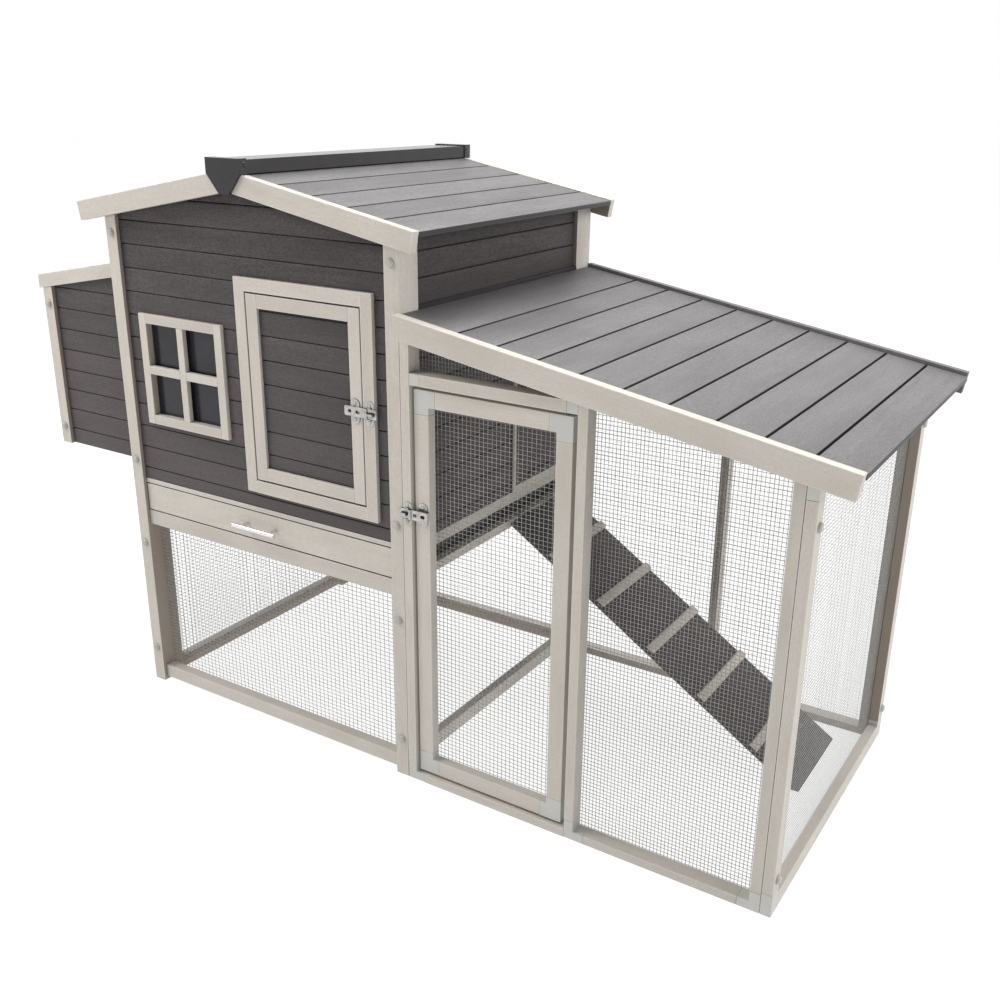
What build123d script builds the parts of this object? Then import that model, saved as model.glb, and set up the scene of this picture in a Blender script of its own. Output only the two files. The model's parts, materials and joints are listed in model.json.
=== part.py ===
from build123d import *
import math
import os

# Chicken coop: a gable-roofed house on four posts, a wire run with a lean-to roof on its right
# and a nest box on its left. Millimetres, X along the front, Y towards the back, Z up.
# Everything is laid out from the foot of the front left post and moved at the end, so that the
# origin is at the centre of the base of the whole coop.

# ---- driving dimensions -------------------------------------------------------------------
HOUSE_WIDTH = 938.0
HOUSE_DEPTH = 883.0
PEN_END = 1900.0
PEN_DEPTH = 876.0
POST_WIDTH = 38.0
POST_DEPTH = 75.0
RECESS = 11.0                # wall planks and rails stand back from the post faces
PLANK = 12.0                 # plank thickness
PLANK_PITCH = 60.4           # wall planks, seam to seam
PLANK_GAP = 0.3
PLANK_CHAMFER = 2.5
RAIL_DEPTH = 30.0
RAIL_HEIGHT = 40.0
MESH = 1.2                   # thickness of the welded wire panels

FLOOR_RAIL_TOP = 634.0       # front wall planks start here
SIDE_WALL_BOTTOM = 621.0
FRONT_FIRST_SEAM = 667.4
SIDE_FIRST_SEAM = 649.6
TRAY_TOP = 618.5
TRAY_BOTTOM = 542.0

RIDGE_X = 462.0
RIDGE_Z = 1470.5             # where the top faces of the house roof planks would meet
ROOF_HALF = 537.0
HOUSE_SLOPE = 0.187
ROOF_PITCH = 100.7           # house roof planks, measured level
ROOF_GROOVE = 6.0
ROOF_LIP = 5.0
FASCIA = 22.0
GABLE_FASCIA_HEIGHT = 48.0
GABLE_FASCIA_STEP = 1.5      # fascia top above the plank tops

PEN_ROOF_X = 939.0
PEN_ROOF_Z = 1188.0          # plank tops at PEN_ROOF_X
PEN_SLOPE = 0.1636
PEN_ROOF_END = 1979.6
PEN_ROOF_PITCH = 99.36
PEN_FASCIA_HEIGHT = 54.0
PEN_FASCIA_STEP = 4.5
PEN_FASCIA_DEPTH = 24.0

PEN_FRAME_DEPTH = 38.0
PEN_STILE = 24.0
PEN_POST_X = 939.0
PEN_MID_X = 1392.0
PEN_LAST_X = 1849.0
PEN_SILL_TOP = 22.0
HEADER_Z = (1033.0, 1060.5)
END_FRAME_X = 1875.0

NEST_X = -427.0
NEST_Y = (97.0, 786.0)
NEST_BOTTOM = 636.0
NEST_FIRST_SEAM = 683.5
LID_SLOPE = 0.184
LID_TOP = 1219.0             # lid top where it meets the house, at X = 0
LID_HEIGHT = 39.0
LID_REST = 0.3               # gap between the closed lid and the box under it
LID_X = (-440.0, 9.0)

WINDOW_X = (88.0, 384.0)
WINDOW_Z = (803.0, 1099.0)
SURROUND_X = (440.0, 863.0)
SURROUND_Z = (680.0, 1226.0)
SURROUND_BAR = 33.0
DOOR_GAP = 4.0
DOOR_BAR = 34.0
DOOR_Y = (1.0, 23.0)
DOOR_PIVOT = (493.0, 12.0)
DOOR_FIRST_SEAM = 786.9

PEN_DOOR_X = (969.0, 1378.0)
PEN_DOOR_Z = (28.5, 1024.5)
PEN_DOOR_Y = (9.0, 35.0)
PEN_DOOR_BAR = 40.0
PEN_DOOR_PIVOT = (1360.0, 22.0)

PIN_RADIUS = 3.0
RUNNING = 0.05               # radial clearance of pins in their holes

POP_HOLE_Y = (512.0, 766.0)
POP_GUIDE = 8.0               # width and depth of the grooved battens
POP_DOOR_Y = (507.4, 773.6)
POP_DOOR_Z = (640.0, 905.0)

RAMP_Y = (480.0, 772.0)
RAMP_TOP = (945.0, 549.0)
RAMP_ANGLE = 32.55
RAMP_THICKNESS = 15.0
RAMP_HINGE = (933.0, 545.0)
SLAT_FIRST = 149.0
SLAT_PITCH = 179.0

BASE_CENTRE = ((LID_X[0] + PEN_ROOF_END) / 2, HOUSE_DEPTH / 2)

AXES = {"x": (1, 0, 0), "y": (0, 1, 0), "z": (0, 0, 1)}


# ---- building blocks ----------------------------------------------------------------------
def block(x, y, z):
    """Box between three (low, high) pairs."""
    centre = Pos(sum(x) / 2, sum(y) / 2, sum(z) / 2)
    return centre * Box(x[1] - x[0], y[1] - y[0], z[1] - z[0])


def prism(points, axis, span):
    """Polygon in the two other axes, in X, Y, Z order, drawn out along one axis."""
    low, high = span
    place = {"x": lambda a, b: (low, a, b), "y": lambda a, b: (a, low, b), "z": lambda a, b: (a, b, low)}
    outline = Wire.make_polygon([Vector(*place[axis](a, b)) for a, b in points], close=True)
    return Solid.extrude(Face(outline), Vector(*AXES[axis]) * (high - low))


def rod(point, axis, radius, length):
    """Cylinder that starts at a point and runs along one axis."""
    return Solid.make_cylinder(radius, length, Plane(origin=point, z_dir=AXES[axis]))


def cone_frustum(point, direction, radius, end_radius, length):
    return Solid.make_cone(radius, end_radius, length, Plane(origin=point, z_dir=direction))


def slot_cutter(centre_x, centre_z, length, width, y):
    """Round-ended slot through a plate that faces the front."""
    half = (length - width) / 2
    middle = block((centre_x - half, centre_x + half), y, (centre_z - width / 2, centre_z + width / 2))
    ends = [rod((centre_x + side * half, y[0], centre_z), "y", width / 2, y[1] - y[0]) for side in (-1, 1)]
    return middle + ends[0] + ends[1]


def solids_of(pieces):
    found = []
    for piece in pieces:
        found.extend(piece.solids())
    return found


def write(name, pieces):
    group = Compound(children=solids_of(pieces))
    export_step(Pos(-BASE_CENTRE[0], -BASE_CENTRE[1], 0) * group, f"parts/{name}.step")


def seam_levels(bottom, first_seam, top):
    """Plank edges from the bottom of a wall to its top."""
    levels = [bottom]
    seam = first_seam
    while seam < top - 3:
        levels.append(seam)
        seam += PLANK_PITCH
    return levels + [top]


def plank_section(low, high, outer, inner):
    """Plank section as (depth, height) points, with its outer edges chamfered."""
    side = math.copysign(PLANK_CHAMFER, inner - outer)
    low += PLANK_GAP / 2
    high -= PLANK_GAP / 2
    return [(inner, low), (inner, high), (outer + side, high), (outer, high - PLANK_CHAMFER),
            (outer, low + PLANK_CHAMFER), (outer + side, low)]


def plank_wall(levels, axis, span, outer, inner, holes=(), keep=None):
    """Horizontal planks along one axis, cut round holes and trimmed to a shape."""
    planks = []
    for low, high in zip(levels, levels[1:]):
        plank = prism(plank_section(low, high, outer, inner), axis, span)
        for hole in holes:
            plank = plank - hole
        if keep is not None:
            plank = plank & keep
        planks.append(plank)
    return planks


def house_top(x):
    return RIDGE_Z - HOUSE_SLOPE * abs(x - RIDGE_X)


def house_under(x):
    return house_top(x) - PLANK * math.hypot(1, HOUSE_SLOPE)


def pen_top(x):
    return PEN_ROOF_Z - PEN_SLOPE * (x - PEN_ROOF_X)


def pen_under(x):
    return pen_top(x) - PLANK * math.hypot(1, PEN_SLOPE)


def lid_top(x):
    return LID_TOP + LID_SLOPE * x


def lid_under(x):
    return lid_top(x) - LID_HEIGHT - LID_REST


def sloped_bar(x, height, top, y):
    """Bar whose top follows a roof line and whose underside is parallel to it."""
    points = [(x[0], top(x[0])), (x[1], top(x[1])), (x[1], top(x[1]) - height), (x[0], top(x[0]) - height)]
    return prism(points, "y", y)


def standing_bar(x, y, bottom, top):
    """Upright bar whose top is cut along a roof line."""
    return prism([(x[0], bottom), (x[1], bottom), (x[1], top(x[1])), (x[0], top(x[0]))], "y", y)


# ---- house --------------------------------------------------------------------------------
INNER_X = (POST_WIDTH, HOUSE_WIDTH - POST_WIDTH)
INNER_Y = (POST_DEPTH, HOUSE_DEPTH - POST_DEPTH)
POST_X = ((0.0, POST_WIDTH), (HOUSE_WIDTH - POST_WIDTH, HOUSE_WIDTH))
POST_Y = ((0.0, POST_DEPTH), (HOUSE_DEPTH - POST_DEPTH, HOUSE_DEPTH))
FRONT_FACE = (RECESS, RECESS + PLANK)
BACK_FACE = (HOUSE_DEPTH - RECESS, HOUSE_DEPTH - RECESS - PLANK)
LEFT_FACE = (RECESS, RECESS + PLANK)
RIGHT_FACE = (HOUSE_WIDTH - RECESS, HOUSE_WIDTH - RECESS - PLANK)
FRONT_RAIL_Y = (RECESS, RECESS + RAIL_DEPTH)
BACK_RAIL_Y = (HOUSE_DEPTH - RECESS - RAIL_DEPTH, HOUSE_DEPTH - RECESS)
SIDE_RAIL = 25.0
LEFT_RAIL_X = (RECESS, RECESS + SIDE_RAIL)
RIGHT_RAIL_X = (HOUSE_WIDTH - RECESS - SIDE_RAIL, HOUSE_WIDTH - RECESS)
CORNER_LEG = 25.0            # length of the visible leg of a corner block in the low front panel
LOW_RAIL_Z = (10.0, 48.0)
HIGH_RAIL_Z = (497.0, 539.0)
SIDE_HIGH_RAIL_Z = (519.0, 543.0)


def house_posts():
    return [standing_bar(x, y, 0.0, house_under) for x in POST_X for y in POST_Y]


def gable_shape(y):
    left, right = INNER_X
    points = [(left, 0), (right, 0), (right, house_under(right)), (RIDGE_X, house_under(RIDGE_X)),
              (left, house_under(left))]
    return prism(points, "y", y)


def front_wall():
    holes = [block(WINDOW_X, (0, 50), WINDOW_Z), block(SURROUND_X, (0, 50), SURROUND_Z)]
    levels = seam_levels(FLOOR_RAIL_TOP, FRONT_FIRST_SEAM, house_under(RIDGE_X))
    return plank_wall(levels, "x", INNER_X, *FRONT_FACE, holes, gable_shape((0, 50)))


def back_wall():
    levels = seam_levels(FLOOR_RAIL_TOP, FRONT_FIRST_SEAM, house_under(RIDGE_X))
    return plank_wall(levels, "x", INNER_X, *BACK_FACE, keep=gable_shape((HOUSE_DEPTH - 50, HOUSE_DEPTH)))


NEST_HOLE_Y = (122.0, 761.0)
NEST_HOLE_Z = (SIDE_FIRST_SEAM + PLANK_PITCH, SIDE_FIRST_SEAM + 5 * PLANK_PITCH)
POP_HOLE_Z = (SIDE_FIRST_SEAM, SIDE_FIRST_SEAM + 4 * PLANK_PITCH)


def left_wall():
    hole = block((0, 50), NEST_HOLE_Y, NEST_HOLE_Z)
    levels = seam_levels(SIDE_WALL_BOTTOM, SIDE_FIRST_SEAM, house_under(LEFT_FACE[0]))
    return plank_wall(levels, "y", INNER_Y, *LEFT_FACE, [hole])


def right_wall():
    hole = block((HOUSE_WIDTH - 50, HOUSE_WIDTH), POP_HOLE_Y, POP_HOLE_Z)
    levels = seam_levels(SIDE_WALL_BOTTOM, SIDE_FIRST_SEAM, house_under(RIGHT_FACE[0]))
    return plank_wall(levels, "y", INNER_Y, *RIGHT_FACE, [hole])


def floor_rails():
    """Rails that carry the walls; the back one is deeper and closes the end of the tray bay."""
    front_z = (SIDE_WALL_BOTTOM, FLOOR_RAIL_TOP)
    side_z = (590.0, SIDE_WALL_BOTTOM)
    return [block(INNER_X, FRONT_RAIL_Y, front_z),
            block(INNER_X, BACK_RAIL_Y, (HIGH_RAIL_Z[1], FLOOR_RAIL_TOP)),
            block(LEFT_RAIL_X, INNER_Y, side_z),
            block(RIGHT_RAIL_X, INNER_Y, side_z)]


def lower_rails():
    rails = []
    for end_z, side_z in ((LOW_RAIL_Z, LOW_RAIL_Z), (HIGH_RAIL_Z, SIDE_HIGH_RAIL_Z)):
        rails.append(block((INNER_X[0] + CORNER_LEG, INNER_X[1]), FRONT_RAIL_Y, end_z))
        rails.append(block(INNER_X, BACK_RAIL_Y, end_z))
        rails.append(block(LEFT_RAIL_X, INNER_Y, side_z))
        rails.append(block(RIGHT_RAIL_X, INNER_Y, side_z))
    return rails


LOWER_MESH_Z = (30.0, 516.0)


def lower_mesh_front():
    y = FRONT_RAIL_Y[1]
    return [block(INNER_X, (y, y + MESH), LOWER_MESH_Z)]


def lower_mesh_back():
    y = BACK_RAIL_Y[0]
    return [block(INNER_X, (y - MESH, y), LOWER_MESH_Z)]


def lower_mesh_left():
    x = LEFT_RAIL_X[1]
    return [block((x, x + MESH), INNER_Y, (LOWER_MESH_Z[0], sum(SIDE_HIGH_RAIL_Z) / 2))]


def framed_rectangle(x, z, y, bar):
    """Four separate bars: two full-height stiles and two rails between them."""
    return [block((x[0], x[0] + bar), y, z),
            block((x[1] - bar, x[1]), y, z),
            block((x[0] + bar, x[1] - bar), y, (z[0], z[0] + bar)),
            block((x[0] + bar, x[1] - bar), y, (z[1] - bar, z[1]))]


WINDOW_BAR = 25.0
MUNTIN = 22.0
MUNTIN_Y = (0.0, 14.0)
FRAME_Y = (0.0, 24.0)


def window_frame():
    bars = framed_rectangle(WINDOW_X, WINDOW_Z, FRAME_Y, WINDOW_BAR)
    inner_x = (WINDOW_X[0] + WINDOW_BAR, WINDOW_X[1] - WINDOW_BAR)
    inner_z = (WINDOW_Z[0] + WINDOW_BAR, WINDOW_Z[1] - WINDOW_BAR)
    upright = (sum(WINDOW_X) / 2 - MUNTIN / 2, sum(WINDOW_X) / 2 + MUNTIN / 2)
    across = (sum(WINDOW_Z) / 2 - MUNTIN / 2, sum(WINDOW_Z) / 2 + MUNTIN / 2)
    bars.append(block(upright, MUNTIN_Y, inner_z))
    bars.append(block((inner_x[0], upright[0]), MUNTIN_Y, across))
    bars.append(block((upright[1], inner_x[1]), MUNTIN_Y, across))
    return bars


def window_pane():
    x = (WINDOW_X[0] + WINDOW_BAR, WINDOW_X[1] - WINDOW_BAR)
    z = (WINDOW_Z[0] + WINDOW_BAR, WINDOW_Z[1] - WINDOW_BAR)
    return [block(x, (FRAME_Y[1] - 4, FRAME_Y[1] - 1), z)]


def pin_holes(pivot, z_levels, radius):
    """Cutters for the pivot holes of a door, one through each (low, high) pair."""
    return [rod((*pivot, low), "z", radius, high - low) for low, high in z_levels]


DOOR_X = (SURROUND_X[0] + SURROUND_BAR + DOOR_GAP, SURROUND_X[1] - SURROUND_BAR - DOOR_GAP)
DOOR_Z = (SURROUND_Z[0] + SURROUND_BAR + DOOR_GAP, SURROUND_Z[1] - SURROUND_BAR - DOOR_GAP)
PIN_GRIP = 18.0              # length of a pivot pin on each side of the gap


def pin_spans(z, gap):
    """Height spans of the lower and upper pivot pins of a door."""
    return [(z[0] - gap - PIN_GRIP, z[0] + PIN_GRIP), (z[1] - PIN_GRIP, z[1] + gap + PIN_GRIP)]


def door_surround():
    bars = framed_rectangle(SURROUND_X, SURROUND_Z, FRAME_Y, SURROUND_BAR)
    socket = pin_holes(DOOR_PIVOT, pin_spans(DOOR_Z, DOOR_GAP), PIN_RADIUS + RUNNING)
    knob_hole = rod((HOUSE_KNOB_X, 0, HOUSE_LATCH_Z), "y", SHAFT_RADIUS + RUNNING, SHAFT_TAIL + 1)
    return [bar - socket[0] - socket[1] - knob_hole for bar in bars]


def house_door_frame():
    bars = framed_rectangle(DOOR_X, DOOR_Z, DOOR_Y, DOOR_BAR)
    socket = pin_holes(DOOR_PIVOT, pin_spans(DOOR_Z, DOOR_GAP), PIN_RADIUS)
    return [bar - socket[0] - socket[1] for bar in bars]


def house_door_planks():
    x = (DOOR_X[0] + DOOR_BAR, DOOR_X[1] - DOOR_BAR)
    bottom, top = DOOR_Z[0] + DOOR_BAR, DOOR_Z[1] - DOOR_BAR
    levels = seam_levels(bottom, DOOR_FIRST_SEAM, top)
    return plank_wall(levels, "x", x, DOOR_Y[0] + 8, DOOR_Y[1] - 2)


def door_pins(pivot, z, gap):
    return [rod((*pivot, low), "z", PIN_RADIUS, high - low) for low, high in pin_spans(z, gap)]


# ---- latches: a slotted strap on the door that drops over a turn knob on the frame ---------
STRAP = 1.6
STRAP_WIDTH = 24.0
PLATE_WIDTH = 26.0
PLATE_HEIGHT = 60.0
PLATE = 1.5
KNOB_SLOT = (20.0, 9.0)
KNOB_SLOT_Y = (-9.0, 3.0)
SHAFT_RADIUS = 2.5
SHAFT_TAIL = 4.0
HOUSE_LATCH_Z = 948.0
HOUSE_KNOB_X = 856.0
HOUSE_PLATE_X = 807.0
HOUSE_KEEPER_X = 850.0
PEN_LATCH_Z = 725.0
PEN_KNOB_X = 946.0
PEN_PLATE_X = 991.0
PEN_KEEPER_X = 953.0
STRAP_CORNER = 5.0
KNUCKLE_RADIUS = 4.5
STRAP_Y = (-PLATE - 0.1 - STRAP, -PLATE - 0.1)


def butterfly_plate(x, z, y):
    """Plate with a rounded ear above and below its middle."""
    ear = PLATE_WIDTH / 2
    middle = block((x - ear, x + ear), y, (z - PLATE_HEIGHT / 2 + ear, z + PLATE_HEIGHT / 2 - ear))
    thickness = y[1] - y[0]
    top = rod((x, y[0], z + PLATE_HEIGHT / 2 - ear), "y", ear, thickness)
    bottom = rod((x, y[0], z - PLATE_HEIGHT / 2 + ear), "y", ear, thickness)
    return middle + top + bottom


def plate_screws(x, z, y):
    """Dome-headed screws in the two ears of a plate, seen from the front."""
    offset = PLATE_HEIGHT / 2 - PLATE_WIDTH / 2 + 2
    return [cone_frustum((x, y, z + side * offset), (0, -1, 0), 4.5, 3.0, 1.8) for side in (-1, 1)]


def strap_blank(x, z, y):
    """Flat strap with rounded corners between two X values."""
    strap = block(x, y, (z - STRAP_WIDTH / 2, z + STRAP_WIDTH / 2))
    return fillet(strap.edges().filter_by(Axis.Y), STRAP_CORNER)


def strap_knuckle(x, z):
    """Rolled knuckle in three parts across the strap, with grooves between them."""
    part = STRAP_WIDTH / 3
    knuckle = None
    for number in range(3):
        inset = 0.0 if number == 1 else 0.6
        start = (x, STRAP_Y[0], z - STRAP_WIDTH / 2 + number * part)
        barrel = rod(start, "z", KNUCKLE_RADIUS - inset, part)
        knuckle = barrel if knuckle is None else knuckle + barrel
    front = block((x - KNUCKLE_RADIUS, x + KNUCKLE_RADIUS), (STRAP_Y[0] - KNUCKLE_RADIUS, STRAP_Y[1]),
                  (z - STRAP_WIDTH / 2, z + STRAP_WIDTH / 2))
    return knuckle & front


def house_door_latch():
    strap = strap_blank((HOUSE_PLATE_X - 31.0, HOUSE_KNOB_X + 15.0), HOUSE_LATCH_Z, STRAP_Y)
    strap = strap + strap_knuckle(HOUSE_KNOB_X - 15.0, HOUSE_LATCH_Z)
    strap = strap + butterfly_plate(HOUSE_PLATE_X, HOUSE_LATCH_Z, (STRAP_Y[1], DOOR_Y[0]))
    strap = strap - slot_cutter(HOUSE_KNOB_X, HOUSE_LATCH_Z, *KNOB_SLOT, KNOB_SLOT_Y)
    for x, length in ((HOUSE_PLATE_X - 15, 11), (HOUSE_PLATE_X + 9, 13)):
        strap = strap - slot_cutter(x, HOUSE_LATCH_Z, length, 8, (STRAP_Y[0] - 1, DOOR_Y[0] + 1))
    return [strap] + plate_screws(HOUSE_PLATE_X, HOUSE_LATCH_Z, STRAP_Y[1])


def pen_door_latch():
    """Strap that stands off the recessed door on a hollow boss."""
    strap = strap_blank((PEN_KNOB_X - 15.0, PEN_PLATE_X + 20.0), PEN_LATCH_Z, STRAP_Y)
    strap = strap + strap_knuckle(PEN_KNOB_X + 15.0, PEN_LATCH_Z)
    strap = strap - slot_cutter(PEN_KNOB_X, PEN_LATCH_Z, *KNOB_SLOT, KNOB_SLOT_Y)
    foot_y = (PEN_DOOR_Y[0] - PLATE, PEN_DOOR_Y[0])
    boss_z = (PEN_LATCH_Z - 10, PEN_LATCH_Z + 10)
    boss = block((PEN_PLATE_X - 6, PEN_PLATE_X + 17), (STRAP_Y[1], foot_y[1]), boss_z)
    strap = strap + boss + butterfly_plate(PEN_PLATE_X, PEN_LATCH_Z, foot_y)
    for x, length in ((PEN_PLATE_X - 16, 11), (PEN_PLATE_X + 6, 12)):
        strap = strap - slot_cutter(x, PEN_LATCH_Z, length, 8, (STRAP_Y[0] - 1, PEN_DOOR_Y[0] + 1))
    return [strap] + plate_screws(PEN_PLATE_X, PEN_LATCH_Z, foot_y[0])


def keeper(x, z, knob_x):
    """Fixed plate with guide lugs above and below the strap and a hole for the knob shaft."""
    plate = butterfly_plate(x, z, (-PLATE, 0))
    for side in (-1, 1):
        edge = z + side * (STRAP_WIDTH / 2 + 0.6)
        lug = sorted((edge, edge + side * 2.5))
        plate = plate + block((x - 5, x + 5), (-PLATE - 3, -PLATE), lug)
    plate = plate - rod((knob_x, -PLATE - 1, z), "y", SHAFT_RADIUS + RUNNING, PLATE + 2)
    return [plate] + plate_screws(x, z, -PLATE)


def latch_keepers():
    house = keeper(HOUSE_KEEPER_X, HOUSE_LATCH_Z, HOUSE_KNOB_X)
    return house + keeper(PEN_KEEPER_X, PEN_LATCH_Z, PEN_KNOB_X)


def turn_knob(x, z):
    """Knob with a flat grip that passes through the strap slot when it lies level."""
    shaft = rod((x, STRAP_Y[0] - 1.0, z), "y", SHAFT_RADIUS, SHAFT_TAIL - STRAP_Y[0] + 1.0)
    grip = block((x - 7.5, x + 7.5), (STRAP_Y[0] - 9.0, STRAP_Y[0] - 1.0), (z - 2.6, z + 2.6))
    return [shaft + grip]


# ---- pull-out tray ------------------------------------------------------------------------
PAN_X = (44.0, 894.0)
PAN_Y = (RECESS + 18.0, 838.0)
PAN_Z = (546.0, 592.0)
PAN_WALL = 3.0
HANDLE_Z = 581.0
HANDLE_CENTRE = 468.0
HANDLE_LENGTH = 144.0
HANDLE_FEET = 96.0
HANDLE_RADIUS = 6.0
HANDLE_Y = -20.0


def tray_front():
    return [block((INNER_X[0] + 2, INNER_X[1] - 2), (RECESS, PAN_Y[0]), (TRAY_BOTTOM, TRAY_TOP))]


def tray_pan():
    floor = block(PAN_X, PAN_Y, (PAN_Z[0], PAN_Z[0] + PAN_WALL))
    wall_z = (PAN_Z[0] + PAN_WALL, PAN_Z[1])
    inner_y = (PAN_Y[0] + PAN_WALL, PAN_Y[1] - PAN_WALL)
    return [floor,
            block(PAN_X, (PAN_Y[0], inner_y[0]), wall_z),
            block(PAN_X, (inner_y[1], PAN_Y[1]), wall_z),
            block((PAN_X[0], PAN_X[0] + PAN_WALL), inner_y, wall_z),
            block((PAN_X[1] - PAN_WALL, PAN_X[1]), inner_y, wall_z)]


def tray_handle():
    grip = rod((HANDLE_CENTRE - HANDLE_LENGTH / 2, HANDLE_Y, HANDLE_Z), "x", HANDLE_RADIUS, HANDLE_LENGTH)
    for side in (-1, 1):
        foot = (HANDLE_CENTRE + side * HANDLE_FEET / 2, HANDLE_Y, HANDLE_Z)
        grip = grip + rod(foot, "y", 4.5, RECESS - HANDLE_Y)
    return [grip]


def tray_runners():
    z = (524.0, PAN_Z[0] - 0.3)
    y = (FRONT_RAIL_Y[1] + 2, BACK_RAIL_Y[0] - 2)
    return [block((INNER_X[0], INNER_X[0] + 24), y, z), block((INNER_X[1] - 24, INNER_X[1]), y, z)]


# ---- house roof ---------------------------------------------------------------------------
HOUSE_TILT = math.atan(HOUSE_SLOPE)
ROOF_ENDS = (0.0, HOUSE_DEPTH)


def roof_plank(start, end, top, y):
    """Lapped plank between two X values: a groove runs along its far edge."""
    lip = PLANK - ROOF_LIP
    side = math.copysign(1.0, end - start)
    groove = end - side * ROOF_GROOVE
    end -= side * PLANK_GAP
    points = [(start, top(start) - PLANK), (start, top(start)), (groove, top(groove)),
              (groove, top(groove) - lip), (end, top(end) - lip), (end, top(end) - PLANK)]
    return prism(points, "y", y)


def house_roof_planks(side):
    """Planks from the eave up to the ridge on one side, the last one narrow under the cap."""
    planks = []
    distance = ROOF_HALF
    while distance > 0.5 * ROOF_PITCH:
        inner = distance - ROOF_PITCH
        planks.append(roof_plank(RIDGE_X + side * distance, RIDGE_X + side * inner, house_top, ROOF_ENDS))
        distance = inner
    if distance > 1.0:
        points = [(RIDGE_X, house_top(RIDGE_X) - PLANK), (RIDGE_X, house_top(RIDGE_X)),
                  (RIDGE_X + side * distance, house_top(RIDGE_X + distance)),
                  (RIDGE_X + side * distance, house_top(RIDGE_X + distance) - PLANK)]
        planks.append(prism(points, "y", ROOF_ENDS))
    return planks


def gable_fascia(side, y):
    """Board along one slope of a gable, mitred at the ridge and cut square at the eave."""
    top_ridge = RIDGE_Z + GABLE_FASCIA_STEP
    drop = GABLE_FASCIA_HEIGHT / math.cos(HOUSE_TILT)
    eave_top = (RIDGE_X + side * ROOF_HALF, top_ridge - HOUSE_SLOPE * ROOF_HALF)
    eave_low = (eave_top[0] - side * GABLE_FASCIA_HEIGHT * math.sin(HOUSE_TILT),
                eave_top[1] - GABLE_FASCIA_HEIGHT * math.cos(HOUSE_TILT))
    return prism([(RIDGE_X, top_ridge), eave_top, eave_low, (RIDGE_X, top_ridge - drop)], "y", y)


FRONT_FASCIA_Y = (-FASCIA, 0.0)
BACK_FASCIA_Y = (HOUSE_DEPTH, HOUSE_DEPTH + FASCIA)


def gable_fascias():
    return [gable_fascia(side, y) for y in (FRONT_FASCIA_Y, BACK_FASCIA_Y) for side in (-1, 1)]


CAP_HALF = 50.0
CAP_TOP = 1496.0
CAP_WALL = 4.0


def cap_foot():
    """Height at which the sides of the ridge channel clear the fascia tops."""
    return house_top(RIDGE_X + CAP_HALF - CAP_WALL) + GABLE_FASCIA_STEP + 0.2


def ridge_cap():
    """Channel over the ridge, with a shield-shaped cap over each of its ends."""
    foot = cap_foot()
    y = (FRONT_FASCIA_Y[0], BACK_FASCIA_Y[1])
    outer = block((RIDGE_X - CAP_HALF, RIDGE_X + CAP_HALF), y, (foot, CAP_TOP))
    inner_x = (RIDGE_X - CAP_HALF + CAP_WALL, RIDGE_X + CAP_HALF - CAP_WALL)
    inner = block(inner_x, y, (foot, CAP_TOP - CAP_WALL))
    channel = outer - inner
    return [channel] + [end_cap(y, turn) for y, turn in ((FRONT_FASCIA_Y[0], -1), (BACK_FASCIA_Y[1], 1))]


def end_cap(y, turn):
    """Shield plate outside a gable and a collar that grips the end of the ridge channel."""
    rim = 3.0
    half = CAP_HALF + rim
    shoulder = 1463.0
    tip_half, tip = 16.0, 1418.0
    shield = [(RIDGE_X - half, CAP_TOP + rim), (RIDGE_X + half, CAP_TOP + rim), (RIDGE_X + half, shoulder),
              (RIDGE_X + tip_half, tip), (RIDGE_X - tip_half, tip), (RIDGE_X - half, shoulder)]
    plate = prism(shield, "y", sorted((y, y + turn * 7.0)))
    collar_y = sorted((y, y - turn * 20.0))
    foot = cap_foot()
    collar = block((RIDGE_X - half, RIDGE_X + half), collar_y, (foot, CAP_TOP + rim))
    collar = collar - block((RIDGE_X - CAP_HALF, RIDGE_X + CAP_HALF), collar_y, (foot, CAP_TOP))
    for side in (-1, 1):
        screw_at = (RIDGE_X + side * half, y - turn * 10.0, CAP_TOP - 9.0)
        collar = collar + cone_frustum(screw_at, (side, 0, 0), 4.0, 2.5, 2.0)
    return plate + collar


def roof_beams():
    """Ridge beam and a wall plate along the top of each side wall."""
    half = 18.0
    beam = [(RIDGE_X - half, 1395.0), (RIDGE_X + half, 1395.0), (RIDGE_X + half, house_under(RIDGE_X + half)),
            (RIDGE_X, house_under(RIDGE_X)), (RIDGE_X - half, house_under(RIDGE_X - half))]
    inside = (FRONT_FACE[1], BACK_FACE[1])
    left = (LEFT_FACE[1], LEFT_FACE[1] + SIDE_RAIL)
    right = (RIGHT_FACE[1] - SIDE_RAIL, RIGHT_FACE[1])
    return [prism(beam, "y", inside),
            standing_bar(left, INNER_Y, house_under(left[0]) - RAIL_HEIGHT, house_under),
            standing_bar(right, INNER_Y, house_under(right[1]) - RAIL_HEIGHT, house_under)]


# ---- pen ----------------------------------------------------------------------------------
PEN_FRAME_Y = (0.0, PEN_FRAME_DEPTH)
PEN_BACK_Y = (PEN_DEPTH - PEN_FRAME_DEPTH, PEN_DEPTH)
PEN_OPENING_X = (PEN_POST_X + PEN_STILE, PEN_MID_X)
PEN_PANEL_X = (PEN_MID_X + PEN_STILE, PEN_LAST_X)
PEN_STILES = ((PEN_POST_X, PEN_OPENING_X[0]), (PEN_MID_X, PEN_PANEL_X[0]), (PEN_LAST_X, END_FRAME_X - 0.5))
TOP_RAIL = 24.0
CORNER = 27.0                # how far a corner block reaches past the inside of its corner
END_STILE = 40.0


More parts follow.
